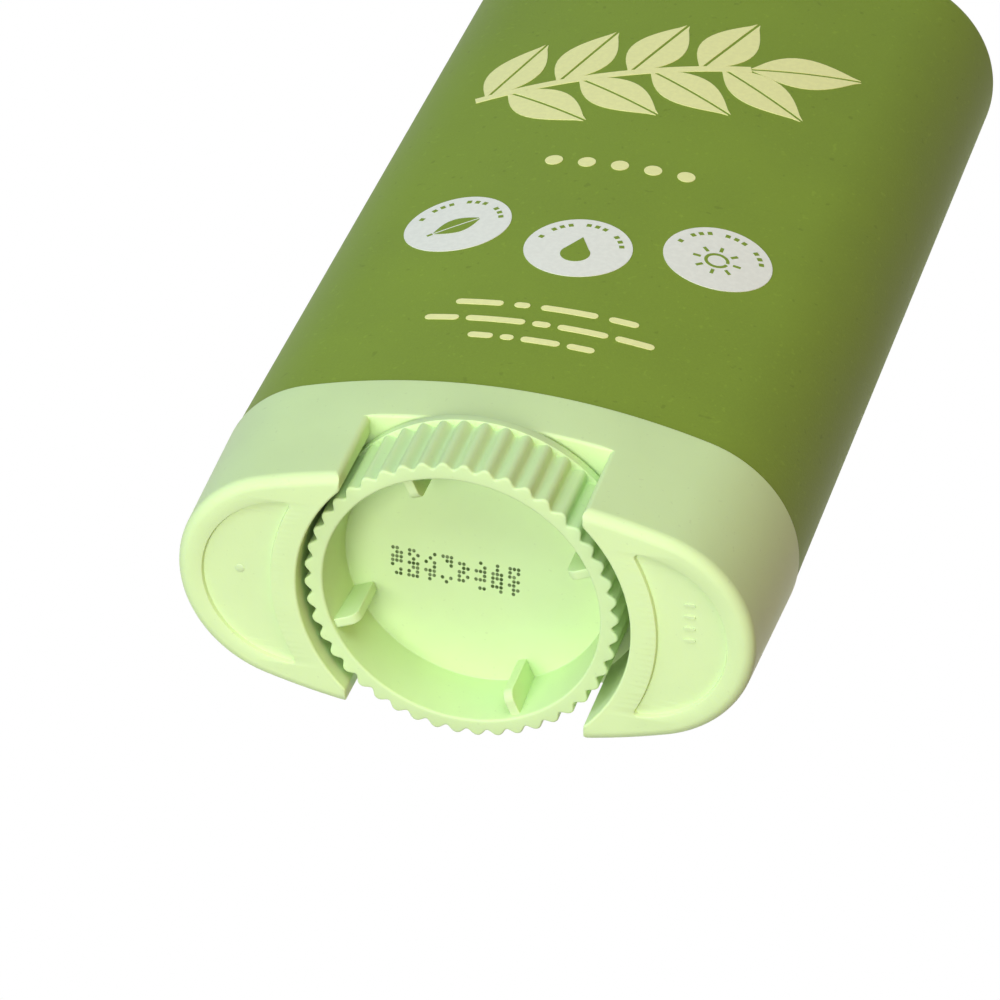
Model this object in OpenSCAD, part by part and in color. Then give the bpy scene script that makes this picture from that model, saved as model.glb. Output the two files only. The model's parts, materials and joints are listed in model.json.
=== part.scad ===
// Oval twist-up stick pack with a knurled dial in its foot and a pull-off over-cap.
// Front is toward -Y, the width runs along X and the stick rises along +Z.
// The origin is the centre of the foot, on the surface the pack stands on.

/* [Pack outline] */
// Width over the foot's shoulder
pack_w = 50; // [46:1:56]
// Depth, front to back
pack_d = 25.6; // [24.4:0.2:28]
// Height from the standing face to the top of the cap
pack_h = 96.7; // [90:0.1:110]
// Radius of the outline's rounded ends
end_r = 10.7; // [9.6:0.1:11.6]

/* [Foot] */
// Height of the pale foot below the cap
foot_h = 14.2; // [13:0.1:18]
// How far the foot draws in from its shoulder to its standing face
foot_draft = 0.5; // [0.3:0.02:1.2]
// Rounding of the foot's lower edge
foot_fillet = 1; // [0.6:0.05:1.6]
// Thickness of the lobes' bottom walls
lobe_floor = 1.5; // [1.2:0.1:2.4]
// Height of the dial well's ceiling above the standing face
well_top = 8.9; // [8.4:0.1:10]
// Gap between the dial's flange and the round walls of its well
well_gap = 0.75; // [0.55:0.05:0.9]
// Half the width of the front and back windows of the well
window_half = 10.2; // [9.5:0.1:11.5]
// Rounding of the lobes' upright edges beside the windows
lobe_round = 0.5; // [0.3:0.05:0.7]
// Rounding of the well's lower edge
mouth_round = 0.2; // [0.1:0.05:0.6]
// Thickness of the well's round walls
well_wall = 1.2; // [0.9:0.1:1.8]
// Thickness of the deck above the well
deck_t = 1.3; // [1:0.1:2]
// Radius of the outer edge of the sunk panel in each lobe
panel_r = 8; // [6.5:0.1:8.4]
// Rim left between the well and the sunk panels
panel_rim = 2.2; // [1.6:0.05:3.2]
// Depth of the sunk panels
panel_sink = 0.4; // [0.2:0.05:0.7]
// Rounding of the sunk panels' corners
panel_round = 0.35; // [0.2:0.05:0.6]

/* [Neck] */
// Wall of the neck tube that holds the balm
neck_wall = 1.1; // [0.8:0.05:1.5]
// Height of the neck's open mouth
neck_top = 74.7; // [68:0.1:78]
// Height of the bead that grips the cap
bead_h = 1.2; // [0.8:0.1:2]
// How far the bead stands out from the neck
bead_out = 0.15; // [0.1:0.01:0.2]

/* [Dial] */
// Radius over the knurl's ridges
dial_r = 13.4; // [12.6:0.05:13.5]
// Sideways play that the dial has taken up in its well
dial_shift = -0.45; // [-0.5:0.05:0.5]
// Number of ridges round the knurl
ridges = 46; // [36:1:60]
// Depth of the grooves between the ridges
groove_depth = 0.55; // [0.3:0.05:0.9]
// Angle of the first groove
knurl_turn = 2.3; // [0:0.1:7.8]
// Height of the dial's rim above the standing face
dial_rise = 1.15; // [0.4:0.05:1.4]
// Height where the grooves run out below the flange
groove_top = 7.75; // [7:0.05:8]
// Gap between the dial's flange and the well's ceiling
flange_gap = 0.25; // [0.15:0.05:0.4]
// Width of the dial's rim, from the knurl's ridges to the recess
rim_w = 1.6; // [1.3:0.05:2.4]
// How much narrower the recess is at its floor
recess_draft = 0.3; // [0.1:0.05:0.5]
// Depth of the recess
recess_depth = 5.5; // [4.5:0.1:5.8]
// Angle of the first gusset in the recess
gusset_turn = 67.8; // [0:0.2:89.8]
// Thickness of the gussets
gusset_t = 0.85; // [0.6:0.05:1.6]
// How far the gussets reach in from the recess's rim
gusset_reach = 2.15; // [1.5:0.05:4]
// Rounding of the gussets' free corners
gusset_round = 0.9; // [0.3:0.05:1.2]

/* [Lift] */
// Radius of the lifting screw
screw_r = 2.9; // [2.4:0.1:3.2]
// Height of the lifting screw's tip
screw_top = 62; // [50:1:66]
// Radius of the screw's journal in the deck
journal_r = 3.6; // [3.4:0.1:4]
// Gap between the screw and the holes it runs in
screw_fit = 0.06; // [0.03:0.01:0.1]
// Thickness of the platform that carries the balm
plate_t = 1.4; // [1:0.1:2.4]
// Depth of the platform's guiding skirt
skirt_h = 4; // [2.5:0.1:5]
// Wall of the platform's guiding skirt
skirt_wall = 1; // [0.8:0.1:1.6]
// Gap between the platform and the neck
platform_gap = 0.25; // [0.15:0.05:0.4]

/* [Balm] */
// Gap between the balm and the neck
balm_gap = 0.3; // [0.2:0.05:0.5]
// How far the balm's crown stands above the neck
crown_h = 1.6; // [0.8:0.1:2.4]

/* [Cap] */
// Wall of the cap
cap_wall = 1.3; // [1:0.05:1.5]
// Thickness of the cap's closed end
cap_end = 1.6; // [1.2:0.1:2.4]
// How far the cap stands in from the foot's shoulder
cap_step = 0.12; // [0.1:0.02:0.4]
// Gap between the cap and the neck
cap_gap = 0.3; // [0.25:0.05:0.5]
// Seam between the cap's rim and the shoulder
seam = 0.05; // [0.02:0.01:0.2]
// Rounding of the cap's upper edge
cap_fillet = 1.8; // [1:0.1:2.4]

/* [Print] */
// Thickness of the printed ink
ink_t = 0.06; // [0.04:0.01:0.12]
// Height of the middle of the large sprig
sprig_z = 69; // [66:0.5:72]
// Length of the sprig along its stem
sprig_len = 35; // [26:0.5:38]
// Lean of the sprig's stem
sprig_lean = 20; // [0:1:30]
// Length of the sprig's leaves
leaf_len = 10; // [7:0.5:12]
// Width of the sprig's leaves
leaf_w = 5; // [3.5:0.1:6]
// Radius of the pale discs
disc_r = 4.7; // [3.5:0.1:5.2]
// Distance between the discs' centres
disc_pitch = 11.6; // [11:0.1:12.4]
// Height of the outer discs' centres
disc_z = 40.2; // [36:0.1:44]
// How much lower the middle disc is
disc_drop = 3; // [0:0.1:5]
// Height of the lowest bar of the small print
bar_z = 21.5; // [18:0.1:24]
// Length of the longest bar
bar_len = 20; // [14:0.5:24]
// Distance between the bars of the small print
bar_pitch = 2.6; // [2:0.1:3.2]
// Height of the row of dots
dot_z = 51.5; // [48:0.5:53]
// Distance between the dots
dot_pitch = 3; // [2:0.1:4]
// Radius of the dots
dot_r = 0.8; // [0.5:0.05:1]

/* [Hidden] */
$fn = 96;

// The outline is four arcs: two ends about (+-end_x, 0) and two faces about (0, +-face_y).
half_w = pack_w / 2;
half_d = pack_d / 2;
end_x = half_w - end_r;
face_r = (end_x * end_x + half_d * half_d - end_r * end_r) / (2 * (half_d - end_r));
face_y = face_r - half_d;
join_angle = atan2(face_y, end_x);

// Offsets of the nested walls from the shoulder's outline.
cap_out = -cap_step;
cap_in = cap_out - cap_wall;
neck_out = cap_in - cap_gap;
neck_in = neck_out - neck_wall;
platform_out = neck_in - platform_gap;
balm_out = neck_in - balm_gap;

deck_top = well_top + deck_t;
collar_play = 0.1;
collar_z = deck_top + collar_play;
collar_h = 1;
collar_r = journal_r + 0.5;
flange_out = 0.05;
flange_r = dial_r + flange_out;
well_r = flange_r + well_gap;
recess_r = dial_r - rim_w;
flange_top = well_top - flange_gap;
recess_top = dial_rise + recess_depth;
platform_play = 0.5;
platform_z = collar_z + collar_h + platform_play;
plate_z = platform_z + skirt_h;
balm_z = plate_z + plate_t;
nut_wall = 2.1;
nut_r = screw_r + nut_wall;
nut_h = 6;
nut_clearance = 0.02;
screw_clearance = 0.5;
gusset_sink = 0.45;
gusset_bite = 0.5;
cut = 1;
end_steps = 26;
face_steps = 12;
edge_steps = 6;
ridge_steps = 8;
groove_sharpness = 1.2;

pale_green = [0.78, 0.93, 0.66];
deep_green = [0.45, 0.57, 0.25];
pale_yellow = [0.94, 0.96, 0.72];
chalk = [0.95, 0.96, 0.93];
cream = [0.95, 0.93, 0.84];
milk = [0.9, 0.91, 0.88];

// Points along an arc, without its last one, where the next arc starts.
function arc_points(centre, radius, from, to, steps) =
    [for (i = [0 : steps - 1])
        let (angle = from + (to - from) * i / steps)
        centre + radius * [cos(angle), sin(angle)]];

// Outline of the pack, offset outward by grow: four arcs that run smoothly into each other.
function oval_points(grow) = concat(
    arc_points([end_x, 0], end_r + grow, -join_angle, join_angle, end_steps),
    arc_points([0, -face_y], face_r + grow, join_angle, 180 - join_angle, face_steps),
    arc_points([-end_x, 0], end_r + grow, 180 - join_angle, 180 + join_angle, end_steps),
    arc_points([0, face_y], face_r + grow, 180 + join_angle, 360 - join_angle, face_steps)
);

// Plain oval block between two heights.
module oval(grow, z0, z1) {
    translate([0, 0, z0])
        linear_extrude(z1 - z0)
            polygon(oval_points(grow));
}

// Closed solid through a stack of outlines, each given as [offset, height] from the bottom up.
module oval_stack(rings) {
    count = len(oval_points(0));
    points = [for (ring = rings) for (p = oval_points(ring[0])) [p.x, p.y, ring[1]]];
    sides = [
        for (k = [0 : len(rings) - 2])
            for (i = [0 : count - 1])
                let (j = (i + 1) % count, low = k * count, high = low + count)
                [low + i, high + i, high + j, low + j]
    ];
    last = (len(rings) - 1) * count;
    polyhedron(points, concat(
        [[for (i = [0 : count - 1]) i]],
        sides,
        [[for (i = [count - 1 : -1 : 0]) last + i]]
    ));
}

// Rings of a rounded lower edge of radius f under a wall that leans out by slope degrees.
function low_edge(grow, z0, f, slope) =
    let (centre = grow - f * tan(45 - slope / 2))
    [for (i = [0 : edge_steps])
        let (a = 90 - (90 - slope) * i / edge_steps)
        [centre + f * cos(a), z0 + f - f * sin(a)]];

// Rings of a rounded upper edge of radius f on an upright wall.
function high_edge(grow, z1, f) =
    [for (i = [0 : edge_steps])
        let (a = 90 * i / edge_steps)
        [grow - f + f * cos(a), z1 - f + f * sin(a)]];

// The dial well with its front and back windows, grown by the thickness of its walls.
module well(grow, z0, z1) {
    translate([0, 0, z0])
        cylinder(r = well_r + grow, h = z1 - z0);
    translate([-window_half - grow, -pack_d, z0])
        cube([2 * (window_half + grow), 2 * pack_d, z1 - z0]);
}

module foot_block() {
    slope = atan2(foot_draft, foot_h);
    oval_stack(concat(low_edge(-foot_draft, 0, foot_fillet, slope), [[0, foot_h]]));
}

// Sunk panel of one lobe: a crescent between the lobe's round end and the well's rim.
module lobe_panel(side) {
    translate([0, 0, -cut])
        linear_extrude(cut + panel_sink)
            offset(r = panel_round)
                offset(delta = -panel_round)
                    difference() {
                        translate([side * end_x, 0]) circle(r = panel_r);
                        circle(r = well_r + panel_rim);
                    }
}

// Section of the rounding of the well's lower edge, with x measured out from the well's wall.
module mouth_section() {
    polygon(concat(
        [[-cut, -cut], [mouth_round, -cut]],
        arc_points([mouth_round, mouth_round], mouth_round, 270, 180, edge_steps),
        [[0, mouth_round], [-cut, mouth_round]]
    ));
}

// Rounds the lower edge of the well all round and along the windows' side walls.
module well_mouth() {
    rotate_extrude()
        translate([well_r, 0]) mouth_section();
    for (turn = [0, 180])
        rotate([90, 0, turn])
            translate([window_half, 0, -pack_d])
                linear_extrude(2 * pack_d)
                    mouth_section();
}

// Rounds the upright edge of the right lobe at the front window, leaning with the foot's draft.
module lobe_edge() {
    draft = foot_draft / foot_h;
    reach = face_r - draft * (foot_h - well_top) - lobe_round;
    across = window_half + lobe_round;
    face_turn = asin(across / reach);
    centre = [across, face_y - reach * cos(face_turn)];
    normal = [sin(face_turn), -cos(face_turn)];
    lean = draft / cos(face_turn);
    multmatrix([[1, 0, 0, 0], [0, 1, -lean, lean * well_top], [0, 0, 1, 0]])
        translate([0, 0, -cut])
            linear_extrude(well_top + cut)
                polygon(concat(
                    [[window_half - cut, -pack_d], [window_half - cut, centre.y]],
                    arc_points(centre, lobe_round, 180, 270 + face_turn, edge_steps),
                    [centre + lobe_round * normal, [centre.x + lobe_round * normal.x, -pack_d]]
                ));
}

module lobe_edges() {
    lobe_edge();
    mirror([1, 0, 0]) lobe_edge();
    mirror([0, 1, 0]) {
        lobe_edge();
        mirror([1, 0, 0]) lobe_edge();
    }
}

module foot_and_neck() {
    color(pale_green)
    difference() {
        union() {
            difference() {
                union() {
                    foot_block();
                    oval(neck_out, foot_h - cut, neck_top);
                    oval(neck_out + bead_out, foot_h + cut, foot_h + cut + bead_h);
                }
                oval(neck_in, lobe_floor, neck_top + cut);
            }
            intersection() {
                foot_block();
                well(well_wall, 0, deck_top);
            }
        }
        well(0, -cut, well_top);
        well_mouth();
        lobe_edges();
        for (side = [-1, 1]) lobe_panel(side);
        translate([dial_shift, 0, well_top - cut])
            cylinder(r = journal_r + screw_fit, h = deck_t + 2 * cut);
    }
}

// Outline of the knurl: waves with rounded crests, and grooves that are a little narrower.
module knurl_outline() {
    pitch = 360 / ridges;
    rotate(knurl_turn)
        polygon([
            for (i = [0 : ridges - 1])
                for (k = [0 : ridge_steps - 1])
                    let (
                        share = k / ridge_steps,
                        wave = cos(180 * pow(abs(2 * share - 1), groove_sharpness)),
                        angle = (i + share) * pitch
                    )
                    (dial_r - groove_depth * (1 - wave) / 2) * [cos(angle), sin(angle)]
        ]);
}

// One gusset between the recess wall and its floor: an upright fin with a rounded free corner.
module gusset() {
    inner = recess_r - gusset_reach;
    low = dial_rise + gusset_sink;
    rotate([90, 0, 0])
        translate([0, 0, -gusset_t / 2])
            linear_extrude(gusset_t)
                polygon(concat(
                    arc_points([inner + gusset_round, low + gusset_round], gusset_round, 180, 270, edge_steps),
                    [
                        [inner + gusset_round, low],
                        [recess_r + gusset_bite, low],
                        [recess_r + gusset_bite, recess_top + gusset_bite],
                        [inner, recess_top + gusset_bite]
                    ]
                ));
}

module dial() {
    color(pale_green)
    translate([dial_shift, 0, 0]) {
        difference() {
            union() {
                translate([0, 0, dial_rise])
                    linear_extrude(groove_top - dial_rise)
                        knurl_outline();
                translate([0, 0, groove_top])
                    cylinder(r = flange_r, h = flange_top - groove_top);
                translate([0, 0, flange_top])
                    cylinder(r = journal_r, h = collar_z - flange_top);
                translate([0, 0, collar_z])
                    cylinder(r = collar_r, h = collar_h);
                translate([0, 0, collar_z + collar_h])
                    cylinder(r = screw_r, h = screw_top - collar_z - collar_h);
            }
            translate([0, 0, dial_rise - cut])
                cylinder(r1 = recess_r + recess_draft * cut / recess_depth,
                         r2 = recess_r - recess_draft, h = recess_depth + cut);
        }
        for (i = [0 : 3])
            rotate([0, 0, gusset_turn + 90 * i]) gusset();
    }
}

module platform() {
    color(milk)
    difference() {
        union() {
            difference() {
                oval(platform_out, platform_z, balm_z);
                oval(platform_out - skirt_wall, platform_z - cut, plate_z);
            }
            translate([dial_shift, 0, platform_z])
                cylinder(r = nut_r, h = balm_z + nut_h - platform_z);
        }
        translate([dial_shift, 0, platform_z - cut])
            cylinder(r = screw_r + screw_fit, h = balm_z + nut_h - platform_z + 2 * cut);
    }
}

// What lies above a crowned surface that runs along X and falls to the front and back.
module above_crown(rim, crown, depth) {
    crown_r = (depth * depth + crown * crown) / (2 * crown);
    rotate([90, 0, 90])
        translate([0, 0, -pack_w])
            linear_extrude(2 * pack_w)
                difference() {
                    translate([-pack_d, rim - crown])
                        square([2 * pack_d, 4 * crown]);
                    translate([0, rim + crown - crown_r])
                        circle(r = crown_r, $fn = 360);
                }
}

// The balm is poured round the nut and the screw, and its top is crowned front to back.
module balm() {
    color(cream)
    difference() {
        oval(balm_out, balm_z, neck_top + crown_h + cut);
        above_crown(neck_top, crown_h, half_d + balm_out);
        translate([dial_shift, 0, balm_z - cut])
            cylinder(r = nut_r + nut_clearance, h = cut + nut_h + nut_clearance);
        translate([dial_shift, 0, balm_z])
            cylinder(r = screw_r + screw_clearance, h = screw_top + cut - balm_z);
    }
}

module cap() {
    color(deep_green)
    difference() {
        oval_stack(concat([[cap_out, foot_h + seam]], high_edge(cap_out, pack_h, cap_fillet)));
        oval(cap_in, foot_h - cut, pack_h - cap_end);
    }
}

// Lays a flat drawing on the cap's front face as a thin film of ink.
module on_front(low, high) {
    intersection() {
        difference() {
            oval(cap_out + ink_t, low, high);
            oval(cap_out, low - cut, high + cut);
        }
        translate([0, -half_d / 2, 0])
            rotate([90, 0, 0])
                linear_extrude(pack_d)
                    children();
    }
}

// Pointed leaf standing on its lower tip.
module leaf(length, width) {
    side_r = (length * length + width * width) / (4 * width);
    translate([0, length / 2])
        intersection() {
            translate([side_r - width / 2, 0]) circle(r = side_r);
            translate([width / 2 - side_r, 0]) circle(r = side_r);
        }
}

// A sprig across the upper front: pairs of leaves along a stem, and one leaf at its end.
module print_leaves() {
    pairs = 4;
    spread = 52;
    stem_w = 0.9;
    foot_gap = 2;
    stagger = 1;
    pair_step = (sprig_len - leaf_len + stem_w) / pairs;
    top_z = sprig_z + sprig_len / 2;
    color(pale_yellow)
    on_front(top_z - sprig_len, top_z)
        translate([0, sprig_z])
            rotate(sprig_lean)
                translate([-sprig_len / 2, 0]) {
                    translate([0, -stem_w / 2]) square([sprig_len - leaf_len / 2, stem_w]);
                    translate([sprig_len - leaf_len, 0]) rotate(-90) leaf(leaf_len, leaf_w);
                    for (i = [0 : pairs - 1])
                        for (side = [-1, 1])
                            translate([foot_gap + i * pair_step - side * stagger, 0])
                                rotate(side * spread - 90) leaf(leaf_len, leaf_w);
                }
}

module print_discs() {
    color(chalk)
    on_front(disc_z - disc_drop - disc_r - cut, disc_z + disc_r + cut)
        for (i = [-1 : 1])
            translate([i * disc_pitch, disc_z - (i == 0 ? disc_drop : 0)])
                circle(r = disc_r);
}

module print_bars() {
    bar_shares = [0.55, 1, 0.8];
    bar_h = 0.8;
    color(pale_yellow)
    on_front(bar_z - cut, dot_z + 2 * cut) {
        for (i = [0 : len(bar_shares) - 1])
            translate([-bar_shares[i] * bar_len / 2, bar_z + i * bar_pitch])
                square([bar_shares[i] * bar_len, bar_h]);
        for (i = [-2 : 2])
            translate([i * dot_pitch, dot_z]) circle(r = dot_r);
    }
}

foot_and_neck();
dial();
platform();
balm();
cap();
print_leaves();
print_discs();
print_bars();
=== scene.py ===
"""Looks of an oval twist-up stick pack: foot, dial, cap, balm, print and a plain studio."""

import json
import math

import bmesh
import bpy
from bpy.props import FloatProperty, FloatVectorProperty, IntProperty, PointerProperty
from mathutils import Matrix, Vector
from mathutils.geometry import tessellate_polygon

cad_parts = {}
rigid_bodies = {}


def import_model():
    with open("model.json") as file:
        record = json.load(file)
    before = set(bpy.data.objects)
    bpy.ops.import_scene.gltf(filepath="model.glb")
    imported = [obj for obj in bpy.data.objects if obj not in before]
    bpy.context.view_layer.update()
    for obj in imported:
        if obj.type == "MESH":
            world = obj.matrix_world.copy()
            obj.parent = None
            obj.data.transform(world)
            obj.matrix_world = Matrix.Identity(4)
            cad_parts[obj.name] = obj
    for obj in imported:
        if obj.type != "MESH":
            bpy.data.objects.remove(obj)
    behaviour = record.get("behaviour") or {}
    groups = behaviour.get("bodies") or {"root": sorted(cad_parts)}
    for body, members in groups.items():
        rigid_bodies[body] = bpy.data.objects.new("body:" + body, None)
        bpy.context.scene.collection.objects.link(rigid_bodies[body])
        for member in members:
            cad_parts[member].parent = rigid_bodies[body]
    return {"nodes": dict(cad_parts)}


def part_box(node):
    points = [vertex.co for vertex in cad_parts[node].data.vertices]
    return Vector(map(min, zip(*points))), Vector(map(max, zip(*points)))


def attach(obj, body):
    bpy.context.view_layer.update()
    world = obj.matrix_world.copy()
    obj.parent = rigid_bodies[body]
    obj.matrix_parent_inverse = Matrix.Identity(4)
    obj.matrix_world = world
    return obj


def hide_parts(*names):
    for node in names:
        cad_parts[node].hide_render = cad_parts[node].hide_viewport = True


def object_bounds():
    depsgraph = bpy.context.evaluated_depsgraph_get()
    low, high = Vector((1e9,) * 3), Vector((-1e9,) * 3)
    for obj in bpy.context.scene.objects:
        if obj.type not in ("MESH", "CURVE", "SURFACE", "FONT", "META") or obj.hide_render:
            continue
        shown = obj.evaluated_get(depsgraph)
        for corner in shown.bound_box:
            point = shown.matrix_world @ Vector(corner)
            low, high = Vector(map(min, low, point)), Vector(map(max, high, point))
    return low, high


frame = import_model()
CAD_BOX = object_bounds()

bl_info = {
    "name": "Oval stick pack",
    "version": (1, 0, 0),
    "blender": (4, 5, 0),
    "location": "3D View > Sidebar > Stick pack",
    "description": "Builds an oval twist-up stick pack, its materials and its studio",
    "category": "Object",
}

MM = 0.001
QUARTER_TURN = math.pi / 2
HALF_TURN = math.pi
FULL_TURN = 2 * math.pi
FOOT_LO, FOOT_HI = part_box("foot_and_neck")
DIAL_LO, DIAL_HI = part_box("dial")
CAP_LO, CAP_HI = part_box("cap")
BALM_LO, BALM_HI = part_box("balm")


def srgb(red, green, blue):
    """Scene-linear colour of an sRGB colour written with numbers from 0 to 255."""
    return tuple(
        (c / 12.92 if c <= 0.04045 else ((c + 0.055) / 1.055) ** 2.4)
        for c in (red / 255, green / 255, blue / 255)
    )


def length(name, text, mm):
    """A size in millimetres that is kept in metres."""
    return FloatProperty(name=name, description=text, default=mm * MM, min=0, unit="LENGTH", precision=5)


def bearing(name, text, degrees):
    """An angle round the pack's axis, written in degrees."""
    return FloatProperty(name=name, description=text, default=math.radians(degrees), subtype="ANGLE")


def power(name, text, watts):
    """The power of a lamp."""
    return FloatProperty(name=name, description=text, default=watts, unit="POWER")


def colour(name, text, red, green, blue):
    """A colour of a surface, written in sRGB."""
    return FloatVectorProperty(
        name=name, description=text, default=srgb(red, green, blue), min=0, max=1, subtype="COLOR"
    )


class PackFootSizes(bpy.types.PropertyGroup):
    end_radius: length("End radius", "Radius of the outline's round ends", 10.7)
    height: length("Height", "Height of the foot below the cap", 14.2)
    draft: length("Draft", "How far the foot draws in down to its standing face", 0.5)
    edge: length("Lower edge", "Rounding of the foot's lower edge", 1.0)
    window_half: length("Window half width", "Half the width of the well's windows", 10.2)
    well_radius: length("Well radius", "Radius of the dial well", 14.2)
    well_top: length("Well height", "Height of the well's ceiling", 8.9)
    corner: length("Lobe corner", "Rounding of the lobes' upright edges", 0.5)
    mouth: length("Mouth edge", "Rounding of the well's lower edge", 0.2)
    panel_radius: length("Panel radius", "Radius of the sunk panels' outer edge", 8.0)
    panel_inner: length("Panel inner radius", "Radius of the sunk panels' inner edge", 16.4)
    panel_sink: length("Panel depth", "Depth of the sunk panels", 0.38)
    panel_corner: length("Panel corner", "Rounding of the sunk panels' corners", 0.35)
    neck_step: length("Neck step", "How far the neck stands in from the shoulder", 1.72)
    neck_wall: length("Neck wall", "Thickness of the neck", 1.1)
    bead: length("Bead", "How far the gripping bead stands out", 0.14)
    deck_top: length("Deck height", "Height of the deck inside the neck", 10.2)


class PackDialSizes(bpy.types.PropertyGroup):
    ridges: IntProperty(name="Ridges", description="Number of ridges round the knurl", default=46, min=8)
    groove: length("Groove depth", "Depth of the grooves between ridges", 0.55)
    radius: length("Radius", "Radius over the ridges", 13.4)
    side_play: length("Side play", "How far the dial sits to the left in its well", 0.45)
    first_groove: bearing("Groove angle", "Angle of the first groove", 2.3)
    groove_top: length("Groove top", "Height where the grooves end", 7.75)
    flange_top: length("Flange top", "Height of the flange's upper face", 8.65)
    rim_radius: length("Recess radius", "Radius of the recess at the rim", 11.8)
    floor_radius: length("Floor radius", "Radius of the recess at its floor", 11.5)
    depth: length("Recess depth", "Depth of the recess", 5.5)
    gusset: length("Gusset thickness", "Thickness of the gussets", 0.85)
    gusset_reach: length("Gusset reach", "How far the gussets reach in from the rim", 2.15)
    gusset_round: length("Gusset corner", "Rounding of the gussets' free corners", 0.9)
    gusset_turn: bearing("Gusset angle", "Angle of the first gusset", 67.8)
    screw: length("Screw radius", "Radius of the lifting screw", 2.9)
    lead: length("Screw lead", "Rise of the thread in one turn", 5.0)


class PackCapSizes(bpy.types.PropertyGroup):
    step: length("Step", "How far the cap stands in from the foot's shoulder", 0.12)
    wall: length("Wall", "Wall of the cap", 1.3)
    end: length("Closed end", "Thickness of the closed end", 1.6)
    edge: length("Upper edge", "Rounding of the cap's upper edge", 1.8)


class PackPrintSizes(bpy.types.PropertyGroup):
    film: length("Ink film", "How far the ink stands on the cap", 0.05)
    sprig_height: length("Sprig height", "Height of the middle of the sprig", 69.0)
    sprig_length: length("Sprig length", "Length of the sprig along its stem", 35.0)
    leaf: length("Leaf length", "Length of the sprig's leaves", 10.0)
    disc: length("Disc radius", "Radius of the discs", 4.7)
    disc_pitch: length("Disc pitch", "Distance between the discs", 11.6)
    disc_height: length("Disc height", "Height of the outer discs", 40.2)
    disc_drop: length("Disc drop", "How much lower the middle disc is", 3.0)


class PackColours(bpy.types.PropertyGroup):
    foot: colour("Foot", "Pale green of the foot", 212, 235, 176)
    dial: colour("Dial", "Pale green of the dial", 208, 233, 174)
    cap: colour("Cap", "Olive green of the cap", 130, 154, 56)
    yellow_ink: colour("Yellow ink", "Pale yellow ink", 249, 249, 178)
    white_ink: colour("White ink", "Off-white ink", 246, 247, 240)
    mark_ink: colour("Dark ink", "Dark ink of the marks in the recess", 52, 74, 30)
    balm: colour("Balm", "Cream of the balm", 240, 234, 210)
    platform: colour("Platform", "Milky white of the platform", 228, 231, 222)


class PackStudio(bpy.types.PropertyGroup):
    focal: FloatProperty(name="Focal length", description="Focal length at 36 mm sensor", default=208.25)
    key: power("Key light", "Power of the key light in watts", 2.8)
    left: power("Left light", "Power of the left light in watts", 0.95)
    front: power("Front light", "Power of the front light in watts", 1.65)
    right: power("Right light", "Power of the warm right light in watts", 0.6)
    back: power("Back light", "Power of the light above and behind in watts", 5.0)
    sky: FloatProperty(name="Ambient light", description="Strength of the light from all round", default=0.08)


GROUPS = {
    "pack_foot": PackFootSizes,
    "pack_dial": PackDialSizes,
    "pack_cap": PackCapSizes,
    "pack_print": PackPrintSizes,
    "pack_colours": PackColours,
    "pack_studio": PackStudio,
}


def settings(name):
    """One of the property groups that hold the sizes and colours."""
    return getattr(bpy.context.scene, name)


# Shader nodes


class Sig:
    """A socket in a node tree. Arithmetic on it adds Math nodes."""

    def __init__(self, tree, socket):
        self.tree = tree
        self.socket = socket

    def _math(self, operation, *values):
        return self.tree.add("ShaderNodeMath", {"operation": operation}, dict(enumerate(values)))

    def __add__(self, other):
        return self._math("ADD", self, other)

    def __radd__(self, other):
        return self._math("ADD", other, self)

    def __sub__(self, other):
        return self._math("SUBTRACT", self, other)

    def __rsub__(self, other):
        return self._math("SUBTRACT", other, self)

    def __mul__(self, other):
        return self._math("MULTIPLY", self, other)

    def __rmul__(self, other):
        return self._math("MULTIPLY", other, self)

    def __truediv__(self, other):
        return self._math("DIVIDE", self, other)

    def __pow__(self, other):
        return self._math("POWER", self, other)

    def fract(self):
        return self._math("FRACT", self)

    def floor(self):
        return self._math("FLOOR", self)

    def less(self, limit):
        return self._math("LESS_THAN", self, limit)

    def above(self, limit):
        return self._math("GREATER_THAN", self, limit)

    def clamp(self):
        return self.tree.add("ShaderNodeClamp", {}, {0: self})

    def ramp(self, low, high, out_low=0.0, out_high=1.0):
        return self.tree.add(
            "ShaderNodeMapRange", {"interpolation_type": "SMOOTHSTEP"},
            {0: self, 1: low, 2: high, 3: out_low, 4: out_high},
        )


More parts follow.
